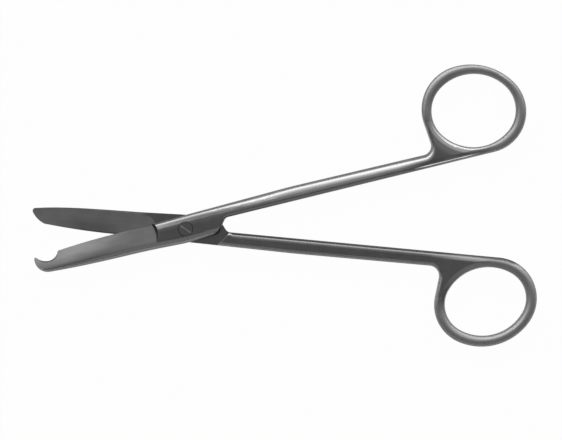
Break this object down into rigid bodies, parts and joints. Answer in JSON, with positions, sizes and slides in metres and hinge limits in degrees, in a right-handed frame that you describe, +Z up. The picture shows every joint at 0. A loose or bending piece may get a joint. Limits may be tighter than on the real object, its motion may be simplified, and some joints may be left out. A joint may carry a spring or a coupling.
{
  "type": "suture scissors",
  "caption": "Ring-handled suture scissors with a hooked blade and a plain round-tipped blade that cross in a lap joint on a slotted screw.",
  "frame": {"origin": "on the pivot screw's axis at the underside of the lap joint, where it rests on a table", "axes": "+X from the pivot towards the finger rings along the line midway between the shanks, +Z up along the pivot axis, +Y towards the hooked half's ring"},
  "size_m": [0.1362, 0.0767, 0.0044],
  "materials": {
    "hooked_half_steel": "satin stainless steel, blade facet ground",
    "plain_half_steel": "satin stainless steel, blade facet ground",
    "screw_steel": "turned stainless steel, head ground flush"
  },
  "bodies": {
    "plain_side": {"plain_half": "plain_half_steel", "pivot_screw": "screw_steel"},
    "hooked_side": {"hooked_half": "hooked_half_steel"}
  },
  "joints": [
    {"name": "pivot", "type": "hinge", "parent": "plain_side", "child": "hooked_side", "pos_m": [0, 0, 0.0022], "axis": [0, 0, 1], "range_deg": [-19, 112]}
  ]
}
